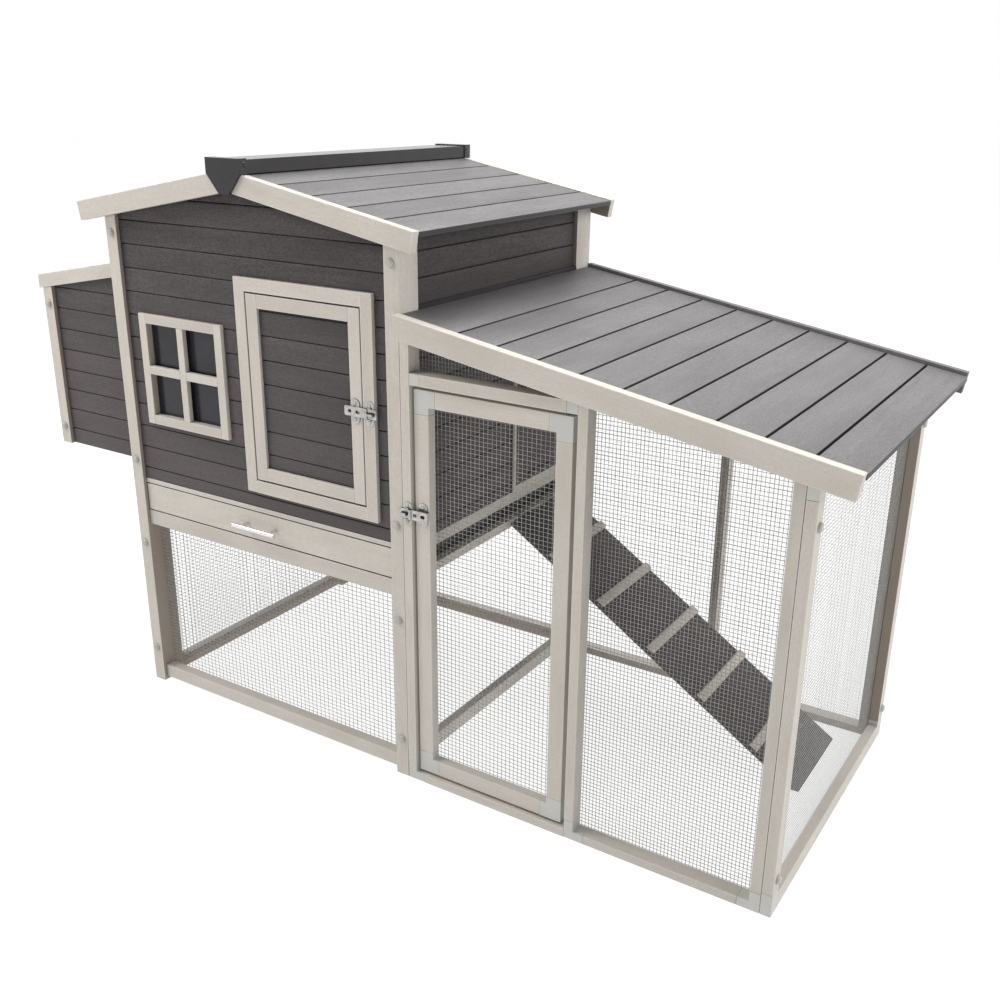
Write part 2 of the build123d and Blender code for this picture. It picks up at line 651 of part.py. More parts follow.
def frame_corner(corner_x, corner_z, turn_x, turn_z, stile, rail, y):
    """L-shaped corner block that joins a stile and a rail; turn points into the panel."""
    reach_x = sorted((corner_x, corner_x + turn_x * (stile + CORNER)))
    reach_z = sorted((corner_z, corner_z + turn_z * (rail + CORNER)))
    stile_x = sorted((corner_x, corner_x + turn_x * stile))
    rail_z = sorted((corner_z, corner_z + turn_z * rail))
    return block(stile_x, y, reach_z) + block(reach_x, y, rail_z)


def pen_front_corners():
    """Corner blocks of the run's front frame, as their solids."""
    left, middle, last = PEN_STILES
    return [frame_corner(left[0], 0.0, 1, 1, PEN_STILE, PEN_SILL_TOP, PEN_FRAME_Y),
            frame_corner(middle[0], 0.0, 1, 1, PEN_STILE, PEN_SILL_TOP, PEN_FRAME_Y),
            frame_corner(last[1], 0.0, -1, 1, last[1] - last[0], PEN_SILL_TOP, PEN_FRAME_Y)]


def header_corner():
    """Short blocks at both ends of the header above the pen door."""
    left = (PEN_OPENING_X[0], PEN_OPENING_X[0] + CORNER)
    right = (PEN_OPENING_X[1] - CORNER, PEN_OPENING_X[1])
    return [block(left, PEN_FRAME_Y, HEADER_Z), block(right, PEN_FRAME_Y, HEADER_Z)]


def low_front_corners():
    x = (INNER_X[0], INNER_X[0] + CORNER_LEG)
    return [block(x, FRONT_RAIL_Y, z) for z in (LOW_RAIL_Z, HIGH_RAIL_Z)]


END_TOP_BLOCK = 30.0


def end_frame_corners():
    """Ends of the two stiles of the end frame, at the foot and at the top."""
    blocks = []
    for y in END_STILE_Y:
        blocks.append(block((END_FRAME_X, PEN_END), y, (0.0, RAIL_HEIGHT + 15.0)))
        blocks.append(standing_bar((END_FRAME_X, PEN_END), y, end_block_foot(), pen_under))
    return blocks


END_STILE_Y = ((0.0, END_STILE), (PEN_DEPTH - END_STILE, PEN_DEPTH))


def end_block_foot():
    return pen_under(PEN_END) - RAIL_HEIGHT - END_TOP_BLOCK


def frame_corner_blocks():
    return low_front_corners() + pen_front_corners() + header_corner() + end_frame_corners()


def pen_front_frame():
    left, middle, last = PEN_STILES
    foot = PEN_SILL_TOP + CORNER
    knob_hole = rod((PEN_KNOB_X, 0, PEN_LATCH_Z), "y", SHAFT_RADIUS + RUNNING, SHAFT_TAIL + 1)
    socket = pin_holes(PEN_DOOR_PIVOT, pin_spans(PEN_DOOR_Z, PEN_DOOR_PIN_GAP), PIN_RADIUS + RUNNING)
    sill = block((PEN_OPENING_X[0] + CORNER, PEN_MID_X), PEN_FRAME_Y, (0.0, PEN_SILL_TOP))
    header = block((PEN_OPENING_X[0] + CORNER, PEN_OPENING_X[1] - CORNER), PEN_FRAME_Y, HEADER_Z)
    bars = [standing_bar(left, PEN_FRAME_Y, foot, pen_under) - knob_hole,
            standing_bar(middle, PEN_FRAME_Y, foot, pen_under),
            standing_bar(last, PEN_FRAME_Y, foot, pen_under),
            sill - socket[0],
            block((PEN_PANEL_X[0] + CORNER, PEN_PANEL_X[1] - CORNER), PEN_FRAME_Y, (0.0, PEN_SILL_TOP)),
            header - socket[1]]
    for x in (PEN_OPENING_X, PEN_PANEL_X):
        bars.append(sloped_bar(x, TOP_RAIL, pen_under, PEN_FRAME_Y))
    return bars


def pen_end_frame():
    x = (END_FRAME_X, PEN_END)
    inner_y = (END_STILE, PEN_DEPTH - END_STILE)
    bars = [block(x, y, (RAIL_HEIGHT + 15.0, end_block_foot())) for y in END_STILE_Y]
    bars.append(block(x, inner_y, (0.0, RAIL_HEIGHT)))
    bars.append(standing_bar(x, inner_y, pen_under(PEN_END) - RAIL_HEIGHT, pen_under))
    return bars


def pen_back_frame():
    """Three stiles with rails between them, as on the front but with no door."""
    stiles = [standing_bar(x, PEN_BACK_Y, 0.0, pen_under) for x in PEN_STILES]
    rails = []
    for x in (PEN_OPENING_X, PEN_PANEL_X):
        rails.append(block(x, PEN_BACK_Y, (0.0, PEN_SILL_TOP)))
        rails.append(sloped_bar(x, TOP_RAIL, pen_under, PEN_BACK_Y))
    return stiles + rails


def mesh_under_slope(x, bottom, y):
    top = [pen_under(x[0]) - 6, pen_under(x[1]) - 6]
    return prism([(x[0], bottom), (x[1], bottom), (x[1], top[1]), (x[0], top[0])], "y", y)


def pen_mesh_front():
    y = (PEN_FRAME_DEPTH, PEN_FRAME_DEPTH + MESH)
    panel = mesh_under_slope((PEN_PANEL_X[0] - 10, PEN_PANEL_X[1] + 10), 12.0, y)
    over_door = mesh_under_slope((PEN_OPENING_X[0] - 10, PEN_OPENING_X[1] + 10), HEADER_Z[0] + 14, y)
    return [panel, over_door]


def pen_mesh_end():
    x = (END_FRAME_X - MESH, END_FRAME_X)
    y = (PEN_FRAME_DEPTH + MESH + 0.5, PEN_BACK_Y[0] - MESH - 0.5)
    return [block(x, y, (20.0, pen_under(PEN_END) - 18))]


def pen_mesh_back():
    y = (PEN_BACK_Y[0] - MESH, PEN_BACK_Y[0])
    low = mesh_under_slope((PEN_OPENING_X[0] - 10, PEN_OPENING_X[1] + 10), 12.0, y)
    return [low, mesh_under_slope((PEN_PANEL_X[0] - 10, PEN_PANEL_X[1] + 10), 12.0, y)]


PEN_DOOR_PIN_GAP = 7.5
DOOR_CORNER = 18.0


def pen_door_corners():
    corners = []
    for x, turn_x in ((PEN_DOOR_X[0], 1), (PEN_DOOR_X[1], -1)):
        for z, turn_z in ((PEN_DOOR_Z[0], 1), (PEN_DOOR_Z[1], -1)):
            stile_x = sorted((x, x + turn_x * PEN_DOOR_BAR))
            reach_x = sorted((x, x + turn_x * (PEN_DOOR_BAR + DOOR_CORNER)))
            rail_z = sorted((z, z + turn_z * PEN_DOOR_BAR))
            reach_z = sorted((z, z + turn_z * (PEN_DOOR_BAR + DOOR_CORNER)))
            corners.append(block(stile_x, PEN_DOOR_Y, reach_z) + block(reach_x, PEN_DOOR_Y, rail_z))
    socket = pin_holes(PEN_DOOR_PIVOT, pin_spans(PEN_DOOR_Z, PEN_DOOR_PIN_GAP), PIN_RADIUS)
    return [corner - socket[0] - socket[1] for corner in corners]


def pen_door_frame():
    length = PEN_DOOR_BAR + DOOR_CORNER
    stile_z = (PEN_DOOR_Z[0] + length, PEN_DOOR_Z[1] - length)
    rail_x = (PEN_DOOR_X[0] + length, PEN_DOOR_X[1] - length)
    return [block((PEN_DOOR_X[0], PEN_DOOR_X[0] + PEN_DOOR_BAR), PEN_DOOR_Y, stile_z),
            block((PEN_DOOR_X[1] - PEN_DOOR_BAR, PEN_DOOR_X[1]), PEN_DOOR_Y, stile_z),
            block(rail_x, PEN_DOOR_Y, (PEN_DOOR_Z[0], PEN_DOOR_Z[0] + PEN_DOOR_BAR)),
            block(rail_x, PEN_DOOR_Y, (PEN_DOOR_Z[1] - PEN_DOOR_BAR, PEN_DOOR_Z[1]))]


def pen_door_mesh():
    inset = PEN_DOOR_BAR / 2
    x = (PEN_DOOR_X[0] + inset, PEN_DOOR_X[1] - inset)
    z = (PEN_DOOR_Z[0] + inset, PEN_DOOR_Z[1] - inset)
    return [block(x, (PEN_DOOR_Y[1], PEN_DOOR_Y[1] + MESH), z)]


PEN_ROOF_Y = (0.0, PEN_DEPTH)


def pen_roof_planks():
    planks = []
    edge = PEN_ROOF_END
    for _ in range(9):
        planks.append(roof_plank(edge, edge - PEN_ROOF_PITCH, pen_top, PEN_ROOF_Y))
        edge -= PEN_ROOF_PITCH
    planks.append(sloped_bar((PEN_ROOF_X, edge), PLANK, pen_top, PEN_ROOF_Y))
    return planks


def pen_fascia(step, height, y):
    """Board along the slope of the pen roof, cut square at the eave."""
    tilt = math.atan(PEN_SLOPE)
    start = (PEN_ROOF_X + 0.5, pen_top(PEN_ROOF_X + 0.5) + step)
    end = (PEN_ROOF_END, pen_top(PEN_ROOF_END) + step)
    low_end = (end[0] - height * math.sin(tilt), end[1] - height * math.cos(tilt))
    return prism([start, end, low_end, (start[0], start[1] - height / math.cos(tilt))], "y", y)


BACK_TRIM_STEP = 9.0
BACK_TRIM_DEPTH = 18.0


def pen_front_fascia():
    return [pen_fascia(PEN_FASCIA_STEP, PEN_FASCIA_HEIGHT, (-PEN_FASCIA_DEPTH, 0.0))]


def pen_back_trim():
    return [pen_fascia(BACK_TRIM_STEP, PEN_FASCIA_HEIGHT, (PEN_DEPTH, PEN_DEPTH + BACK_TRIM_DEPTH))]


LEDGER_X = (HOUSE_WIDTH - RECESS, 951.0)
LEDGER_BOTTOM = 1140.0
RAFTER = 25.0
RAFTER_HEIGHT = 34.0
RAFTERS_Y = (280.0, 600.0)


def pen_rafters():
    """Ledger on the house wall and two rafters from it to the end frame."""
    def ledger_top(x):
        return pen_under(max(x, PEN_ROOF_X))
    ledger = standing_bar(LEDGER_X, (POST_DEPTH, INNER_Y[1]), LEDGER_BOTTOM, ledger_top)
    x = (LEDGER_X[1], END_FRAME_X - MESH)
    rafters = [sloped_bar(x, RAFTER_HEIGHT, pen_under, (y, y + RAFTER)) for y in RAFTERS_Y]
    return [ledger] + rafters


def wall_flashing():
    """Strip that closes the joint between the pen roof and the house wall."""
    x = (HOUSE_WIDTH - RECESS, PEN_ROOF_X)
    return [block(x, INNER_Y, (pen_under(PEN_ROOF_X) + 0.2, PEN_ROOF_Z + 9.0))]


# ---- nest box -----------------------------------------------------------------------------
NEST_POST = 38.0
NEST_END_FACE = ((NEST_Y[0] + RECESS, NEST_Y[0] + RECESS + PLANK),
                 (NEST_Y[1] - RECESS, NEST_Y[1] - RECESS - PLANK))
NEST_SIDE_FACE = (NEST_X + RECESS, NEST_X + RECESS + PLANK)
NEST_INNER_X = (NEST_X + NEST_POST, RECESS)
NEST_INNER_Y = (NEST_END_FACE[0][1], NEST_END_FACE[1][1])


def nest_posts():
    x = (NEST_X, NEST_X + NEST_POST)
    ends = ((NEST_Y[0], NEST_Y[0] + NEST_POST), (NEST_Y[1] - NEST_POST, NEST_Y[1]))
    return [standing_bar(x, y, NEST_BOTTOM, lid_under) for y in ends]


def nest_planks():
    """Planks of the two ends, cut under the lid's slope, and of the long side."""
    planks = []
    levels = seam_levels(NEST_BOTTOM, NEST_FIRST_SEAM, lid_under(NEST_INNER_X[1]))
    for outer, inner in NEST_END_FACE:
        y = (min(outer, inner) - 1, max(outer, inner) + 1)
        keep = standing_bar(NEST_INNER_X, y, 0.0, lid_under)
        planks += plank_wall(levels, "x", NEST_INNER_X, outer, inner, keep=keep)
    levels = seam_levels(NEST_BOTTOM, NEST_FIRST_SEAM, lid_under(NEST_SIDE_FACE[0]))
    side_y = (NEST_Y[0] + NEST_POST, NEST_Y[1] - NEST_POST)
    return planks + plank_wall(levels, "y", side_y, *NEST_SIDE_FACE)


NEST_FLOOR_Z = (640.0, 652.0)
DIVIDER_TOP = 840.0


def nest_interior():
    """Floor and two dividers that make three nests."""
    x = (NEST_X + NEST_POST, RECESS)
    pieces = [block(x, NEST_INNER_Y, NEST_FLOOR_Z)]
    third = (NEST_INNER_Y[1] - NEST_INNER_Y[0]) / 3
    for number in (1, 2):
        y = NEST_INNER_Y[0] + number * third
        pieces.append(block(x, (y - PLANK / 2, y + PLANK / 2), (NEST_FLOOR_Z[1], DIVIDER_TOP)))
    return pieces


LID_Y = (NEST_Y[0] - 2.0, NEST_Y[1] + 2.0)
LID_PLANK_STEP = 1.5


def lid_plank_top(x):
    return lid_top(x) - LID_PLANK_STEP


def nest_lid_frame():
    """Two sloping end boards and a front board."""
    ends = [sloped_bar(LID_X, LID_HEIGHT, lid_top, (LID_Y[0], LID_Y[0] + FASCIA)),
            sloped_bar(LID_X, LID_HEIGHT, lid_top, (LID_Y[1] - FASCIA, LID_Y[1]))]
    front_y = (LID_Y[0] + FASCIA, LID_Y[1] - FASCIA)
    front = sloped_bar((LID_X[0], LID_X[0] + FASCIA), LID_HEIGHT, lid_top, front_y)
    return ends + [front]


def nest_lid_planks():
    y = (LID_Y[0] + FASCIA, LID_Y[1] - FASCIA)
    start, end = LID_X[0] + FASCIA, LID_X[1]
    pitch = (end - start) / 4
    planks = []
    for number in range(4):
        low = start + number * pitch
        if number < 3:
            planks.append(roof_plank(low, low + pitch, lid_plank_top, y))
        else:
            planks.append(sloped_bar((low, end), PLANK, lid_plank_top, y))
    return planks


# ---- butt hinges: knuckles on both leaves share one pin ------------------------------------
LID_AXIS = (5.0, LID_TOP + 4.6)
BARREL = 4.0
HINGE_PIN = 2.0
KNUCKLE = 20.0
LID_HINGES_Y = (230.0, 590.0)
RAMP_HINGES_Y = (540.0, 680.0)
LEAF = 1.5
RAMP_LEAF = 40.0
TURN_GAP = 0.3


def fixed_knuckles(axis, y, leaf):
    """Two end knuckles with their pin, and the fixed leaf that carries them."""
    x, z = axis
    body = rod((x, y, z), "y", BARREL, KNUCKLE)
    body = body + rod((x, y + 2 * KNUCKLE + 2 * TURN_GAP, z), "y", BARREL, KNUCKLE)
    body = body + rod((x, y, z), "y", HINGE_PIN, 3 * KNUCKLE + 2 * TURN_GAP)
    for start in (y, y + 2 * KNUCKLE + 2 * TURN_GAP):
        body = body + leaf((start, start + KNUCKLE))
    return body


def moving_knuckle(axis, y, leaf):
    """Middle knuckle that turns on the pin, with its leaf."""
    x, z = axis
    start = y + KNUCKLE + TURN_GAP
    knuckle = rod((x, start, z), "y", BARREL, KNUCKLE) + leaf((start, start + KNUCKLE))
    return knuckle - rod((x, start - 1, z), "y", HINGE_PIN + RUNNING, KNUCKLE + 2)


def lid_wall_leaf(y):
    x, z = LID_AXIS
    return block((x + BARREL - LEAF, RECESS), y, (z, z + 34.0))


def lid_moving_leaf(y):
    x, z = LID_AXIS
    reach = (x - 36.0, x)
    plate = sloped_bar(reach, LEAF, lambda at: lid_plank_top(at) + LEAF, y)
    return plate + block((x - BARREL, x), y, (lid_plank_top(x), z))


def ramp_rail_leaf(y):
    x, z = RAMP_HINGE
    return block((HOUSE_WIDTH - RECESS, x - BARREL + LEAF), y, (z - 40.0, z))


def along_ramp(distance, depth):
    """Point at a distance down the ramp and a depth below its walking face."""
    angle = math.radians(RAMP_ANGLE)
    return (RAMP_TOP[0] + distance * math.cos(angle) - depth * math.sin(angle),
            RAMP_TOP[1] - distance * math.sin(angle) - depth * math.cos(angle))


def ramp_moving_leaf(y):
    """Leaf under the head of the ramp, with a web up to the barrel."""
    depth = RAMP_THICKNESS
    under = [along_ramp(0, depth), along_ramp(RAMP_LEAF, depth),
             along_ramp(RAMP_LEAF, depth + LEAF), along_ramp(0, depth + LEAF)]
    x, z = RAMP_HINGE
    web = [(x, z), (x - 1, z - BARREL + 1), along_ramp(0, depth + LEAF), along_ramp(0, depth - 4)]
    return prism(under, "y", y) + prism(web, "y", y)


def hinge_fixed_leaves():
    lid = [fixed_knuckles(LID_AXIS, y, lid_wall_leaf) for y in LID_HINGES_Y]
    ramp = [fixed_knuckles(RAMP_HINGE, y, ramp_rail_leaf) for y in RAMP_HINGES_Y]
    return lid + ramp


def nest_lid_hinge():
    return [moving_knuckle(LID_AXIS, y, lid_moving_leaf) for y in LID_HINGES_Y]


def ramp_hinge():
    return [moving_knuckle(RAMP_HINGE, y, ramp_moving_leaf) for y in RAMP_HINGES_Y]


# ---- ramp, pop door, perches and bolt caps -------------------------------------------------
def ramp_board():
    """Board from the hinge to the ground, its foot cut level."""
    angle = math.radians(RAMP_ANGLE)
    foot = (RAMP_TOP[1] - 1.5) / math.sin(angle)
    toe = along_ramp(foot, 0)
    heel_distance = (RAMP_TOP[1] - RAMP_THICKNESS * math.cos(angle) - 0.2) / math.sin(angle)
    points = [along_ramp(0, 0), toe, (toe[0], 0.2), along_ramp(heel_distance, RAMP_THICKNESS),
              along_ramp(0, RAMP_THICKNESS)]
    return [prism(points, "y", RAMP_Y)]


def ramp_slats():
    width, height = 28.0, 10.0
    slats = []
    for number in range(5):
        start = SLAT_FIRST + number * SLAT_PITCH - width / 2
        points = [along_ramp(start, 0), along_ramp(start + width, 0), along_ramp(start + width - 3, -height),
                  along_ramp(start + 3, -height)]
        slats.append(prism(points, "y", RAMP_Y))
    return slats


POP_DOOR_X = (HOUSE_WIDTH - RECESS + 2.0, HOUSE_WIDTH - RECESS + 6.0)
POP_GUIDES_Y = (503.0, 770.0)
POP_GROOVE = 4.8


def pop_door():
    """Sliding panel of two boards with a finger strip along its foot."""
    middle = sum(POP_DOOR_Z) / 2
    boards = [block(POP_DOOR_X, POP_DOOR_Y, z) for z in ((POP_DOOR_Z[0], middle), (middle, POP_DOOR_Z[1]))]
    strip_y = (POP_HOLE_Y[0] + 60, POP_HOLE_Y[1] - 60)
    strip = block((POP_DOOR_X[1], POP_DOOR_X[1] + 6), strip_y, (POP_DOOR_Z[0] + 8, POP_DOOR_Z[0] + 20))
    return boards + [strip]


def pop_door_guides():
    """Grooved battens on both sides of the pop hole, and the stop under the panel."""
    x = (HOUSE_WIDTH - RECESS, HOUSE_WIDTH - RECESS + POP_GUIDE)
    groove_x = (POP_DOOR_X[0] - 0.4, POP_DOOR_X[1] + 0.4)
    stop_z = (SIDE_WALL_BOTTOM, POP_DOOR_Z[0] - 0.3)
    inner = (POP_GUIDES_Y[0] + POP_GUIDE, POP_GUIDES_Y[1])
    grooves = ((inner[0] - POP_GROOVE, inner[0] + 1), (inner[1] - 1, inner[1] + POP_GROOVE))
    guides = [block(x, inner, stop_z)]
    for start, groove_y in zip(POP_GUIDES_Y, grooves):
        batten = block(x, (start, start + POP_GUIDE), (SIDE_WALL_BOTTOM, LEDGER_BOTTOM))
        guides.append(batten - block(groove_x, groove_y, (stop_z[1], LEDGER_BOTTOM)))
    return guides


PERCH_Z = 975.0
PERCHES_Y = (580.0, 740.0)


def perches():
    """Two roosting bars across the house, each in a cleat on both side walls."""
    x = (LEFT_FACE[1], RIGHT_FACE[1])
    pieces = []
    for y in PERCHES_Y:
        pieces.append(block((x[0] + PLANK, x[1] - PLANK), (y - 20, y + 20), (PERCH_Z, PERCH_Z + 34)))
        for cleat_x in ((x[0], x[0] + PLANK), (x[1] - PLANK, x[1])):
            pieces.append(block(cleat_x, (y - 32, y + 32), (PERCH_Z - 22, PERCH_Z + 40)))
    return pieces


CAP_RADIUS = 10.5
CAP_HEIGHT = 7.5
CAP_DOME = 5.5
POST_CAP_Z = (105.0, 439.0, 687.0, 1298.0)
NEST_CAP_Z = (689.0, 1057.0)
END_CAP_Z = (88.0, 892.0)


def bolt_cap(point, direction):
    """Domed cover over the head of a frame bolt."""
    cap = Solid.make_cylinder(CAP_RADIUS, CAP_HEIGHT, Plane(origin=point, z_dir=direction))
    outer_edge = cap.edges().filter_by(GeomType.CIRCLE).sort_by(Axis(point, direction))[-1]
    return fillet(outer_edge, CAP_DOME)


def bolt_caps():
    caps = []
    for x in (POST_WIDTH / 2, HOUSE_WIDTH - POST_WIDTH / 2):
        for z in POST_CAP_Z:
            caps.append(bolt_cap((x, 0, z), (0, -1, 0)))
            caps.append(bolt_cap((x, HOUSE_DEPTH, z), (0, 1, 0)))
    for z in NEST_CAP_Z:
        caps.append(bolt_cap((NEST_X + NEST_POST / 2, NEST_Y[0], z), (0, -1, 0)))
        caps.append(bolt_cap((NEST_X + NEST_POST / 2, NEST_Y[1], z), (0, 1, 0)))
    for y in (20.0, PEN_DEPTH - 20.0):
        for z in END_CAP_Z:
            caps.append(bolt_cap((PEN_END, y, z), (1, 0, 0)))
    return caps


# ---- nodes --------------------------------------------------------------------------------
NODES = {
    "house_posts": house_posts,
    "front_wall_planks": front_wall,
    "back_wall_planks": back_wall,
    "left_wall_planks": left_wall,
    "right_wall_planks": right_wall,
    "floor_rails": floor_rails,
    "lower_rails": lower_rails,
    "lower_mesh_front": lower_mesh_front,
    "lower_mesh_back": lower_mesh_back,
    "lower_mesh_left": lower_mesh_left,
    "frame_corner_blocks": frame_corner_blocks,
    "window_frame": window_frame,
    "window_pane": window_pane,
    "door_surround": door_surround,
    "house_door_frame": house_door_frame,
    "house_door_planks": house_door_planks,
    "house_door_pins": lambda: door_pins(DOOR_PIVOT, DOOR_Z, DOOR_GAP),
    "house_door_latch": house_door_latch,
    "latch_keepers": latch_keepers,
    "house_door_knob": lambda: turn_knob(HOUSE_KNOB_X, HOUSE_LATCH_Z),
    "tray_front": tray_front,
    "tray_pan": tray_pan,
    "tray_handle": tray_handle,
    "tray_runners": tray_runners,
    "roof_planks_left": lambda: house_roof_planks(-1),
    "roof_planks_right": lambda: house_roof_planks(1),
    "gable_fascias": gable_fascias,
    "ridge_cap": ridge_cap,
    "roof_beams": roof_beams,
    "pen_front_frame": pen_front_frame,
    "pen_end_frame": pen_end_frame,
    "pen_back_frame": pen_back_frame,
    "pen_mesh_front": pen_mesh_front,
    "pen_mesh_end": pen_mesh_end,
    "pen_mesh_back": pen_mesh_back,
    "pen_door_frame": pen_door_frame,
    "pen_door_corners": pen_door_corners,
    "pen_door_mesh": pen_door_mesh,
    "pen_door_pins": lambda: door_pins(PEN_DOOR_PIVOT, PEN_DOOR_Z, PEN_DOOR_PIN_GAP),
    "pen_door_latch": pen_door_latch,
    "pen_door_knob": lambda: turn_knob(PEN_KNOB_X, PEN_LATCH_Z),
    "pen_roof_planks": pen_roof_planks,
    "pen_front_fascia": pen_front_fascia,
    "pen_back_trim": pen_back_trim,
    "pen_rafters": pen_rafters,
    "wall_flashing": wall_flashing,
    "nest_posts": nest_posts,
    "nest_planks": nest_planks,
    "nest_interior": nest_interior,
    "nest_lid_frame": nest_lid_frame,
    "nest_lid_planks": nest_lid_planks,
    "nest_lid_hinge": nest_lid_hinge,
    "hinge_fixed_leaves": hinge_fixed_leaves,
    "perches": perches,
    "ramp_board": ramp_board,
    "ramp_slats": ramp_slats,
    "ramp_hinge": ramp_hinge,
    "pop_door": pop_door,
    "pop_door_guides": pop_door_guides,
    "bolt_caps": bolt_caps,
}

os.makedirs("parts", exist_ok=True)
for node_name, make_node in NODES.items():
    write(node_name, make_node())
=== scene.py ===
import math
import random

import bmesh
import bpy
import numpy as np
from mathutils import Matrix, Vector
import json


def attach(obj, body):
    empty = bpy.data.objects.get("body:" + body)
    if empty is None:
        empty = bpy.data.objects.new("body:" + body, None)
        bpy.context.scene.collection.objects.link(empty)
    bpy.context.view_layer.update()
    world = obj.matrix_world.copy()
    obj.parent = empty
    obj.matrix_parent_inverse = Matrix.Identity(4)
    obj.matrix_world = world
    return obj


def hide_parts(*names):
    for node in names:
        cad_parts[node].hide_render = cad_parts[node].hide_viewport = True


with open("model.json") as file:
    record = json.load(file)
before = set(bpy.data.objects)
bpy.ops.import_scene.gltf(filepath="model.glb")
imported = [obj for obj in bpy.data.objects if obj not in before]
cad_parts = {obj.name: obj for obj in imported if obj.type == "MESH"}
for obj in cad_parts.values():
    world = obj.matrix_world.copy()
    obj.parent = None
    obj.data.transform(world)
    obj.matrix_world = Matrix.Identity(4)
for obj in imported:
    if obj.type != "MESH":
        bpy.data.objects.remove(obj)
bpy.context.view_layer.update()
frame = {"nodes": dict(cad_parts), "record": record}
NODES = frame["nodes"]
BODY_OF = {node: body for body, nodes in frame["record"]["behaviour"]["bodies"].items() for node in nodes}
SLOT_OF = {part["node"]: part["material_slot"] for part in frame["record"]["subparts"]}
scene = bpy.context.scene
scene.view_settings.view_transform = "Standard"


# ---- node graphs --------------------------------------------------------------------------
class Graph:
    """Short way to write a material's node graph."""

    def __init__(self, name):
        self.material = bpy.data.materials.new(name)
        self.material.use_nodes = True
        self.tree = self.material.node_tree
        self.shader = self.tree.nodes["Principled BSDF"]

    def node(self, kind, **settings):
        made = self.tree.nodes.new(kind)
        for key, value in settings.items():
            setattr(made, key, value)
        return made

    def feed(self, socket, value):
        if isinstance(value, (int, float)):
            socket.default_value = value
        elif isinstance(value, tuple):
            socket.default_value = (*value, 1) if len(socket.default_value) == 4 else value
        elif value is not None:
            self.tree.links.new(value, socket)

    def calc(self, operation, first, second):
        made = self.node("ShaderNodeMath", operation=operation)
        self.feed(made.inputs[0], first)
        self.feed(made.inputs[1], second)
        return made.outputs[0]

    def vector(self, operation, first, second=None):
        made = self.node("ShaderNodeVectorMath", operation=operation)
        self.feed(made.inputs[0], first)
        self.feed(made.inputs[1], second)
        return made.outputs[0]

    def attribute(self, name):
        return self.node("ShaderNodeAttribute", attribute_name=name).outputs["Vector"]

    def split(self, vector):
        made = self.node("ShaderNodeSeparateXYZ")
        self.feed(made.inputs[0], vector)
        return made.outputs

    def noise(self, vector, scale, detail=4.0, roughness=0.55, distortion=0.0):
        made = self.node("ShaderNodeTexNoise")
        made.inputs["Scale"].default_value = scale
        made.inputs["Detail"].default_value = detail
        made.inputs["Roughness"].default_value = roughness
        made.inputs["Distortion"].default_value = distortion
        self.feed(made.inputs["Vector"], vector)
        return made.outputs["Fac"]

    def drawn_out(self, vector, per_axis, detail=3.0, roughness=0.5, distortion=0.0):
        """Noise with a frequency of its own along each axis."""
        return self.noise(self.vector("MULTIPLY", vector, per_axis), 1.0, detail, roughness, distortion)

    def openness(self, reach, samples):
        """1 on an open surface, less where other surfaces stand nearer than reach."""
        made = self.node("ShaderNodeAmbientOcclusion", samples=samples)
        made.inputs["Distance"].default_value = reach
        return made.outputs["AO"]

    def place(self):
        return self.node("ShaderNodeTexCoord").outputs["Object"]

    def remap(self, value, low, high, to_low, to_high):
        made = self.node("ShaderNodeMapRange")
        for socket, number in zip(made.inputs[1:5], (low, high, to_low, to_high)):
            socket.default_value = number
        self.feed(made.inputs[0], value)
        return made.outputs[0]

    def mix(self, factor, first, second, blend="MIX"):
        made = self.node("ShaderNodeMix", data_type="RGBA", blend_type=blend)
        for socket, value in zip((made.inputs[0], made.inputs[6], made.inputs[7]), (factor, first, second)):
            self.feed(socket, value)
        return made.outputs[2]

    def bump(self, height, strength, distance):
        made = self.node("ShaderNodeBump")
        made.inputs["Strength"].default_value = strength
        made.inputs["Distance"].default_value = distance
        self.feed(made.inputs["Height"], height)
        return made.outputs[0]

    def set(self, **values):
        names = {"color": "Base Color", "roughness": "Roughness", "normal": "Normal",
                 "metallic": "Metallic", "specular": "Specular IOR Level"}
        for key, value in values.items():
            self.feed(self.shader.inputs[names[key]], value)


def darker(colour, share):
    return tuple(share * channel for channel in colour)


COOP_HALF = (1.2, 0.45)     # half width and half depth of the coop
GRAIN_SHIFT = 7.0           # distance between the grain of one board and the next
GRAIN_DEPTH = 0.0012
RIM = 0.0035                # width of a board's worn rim
PALER_LOW_HEIGHTS = (0.75, 1.35)
SHELTER_REACH = 0.35
GAP_REACH = 0.006
PAINTED_SHADE_SHARE = 0.12          # share of a colour that is left in painted shade


def inward_facing(g):
    """Large on faces that look at the middle of the coop, negative on faces that look away from it."""
    coordinates = g.node("ShaderNodeTexCoord")
    facing = g.split(g.vector("MULTIPLY", coordinates.outputs["Normal"], coordinates.outputs["Object"]))
    sideways = g.calc("MULTIPLY", facing[0], -1 / COOP_HALF[0])
    return g.calc("ADD", sideways, g.calc("MULTIPLY", facing[1], -1 / COOP_HALF[1]))


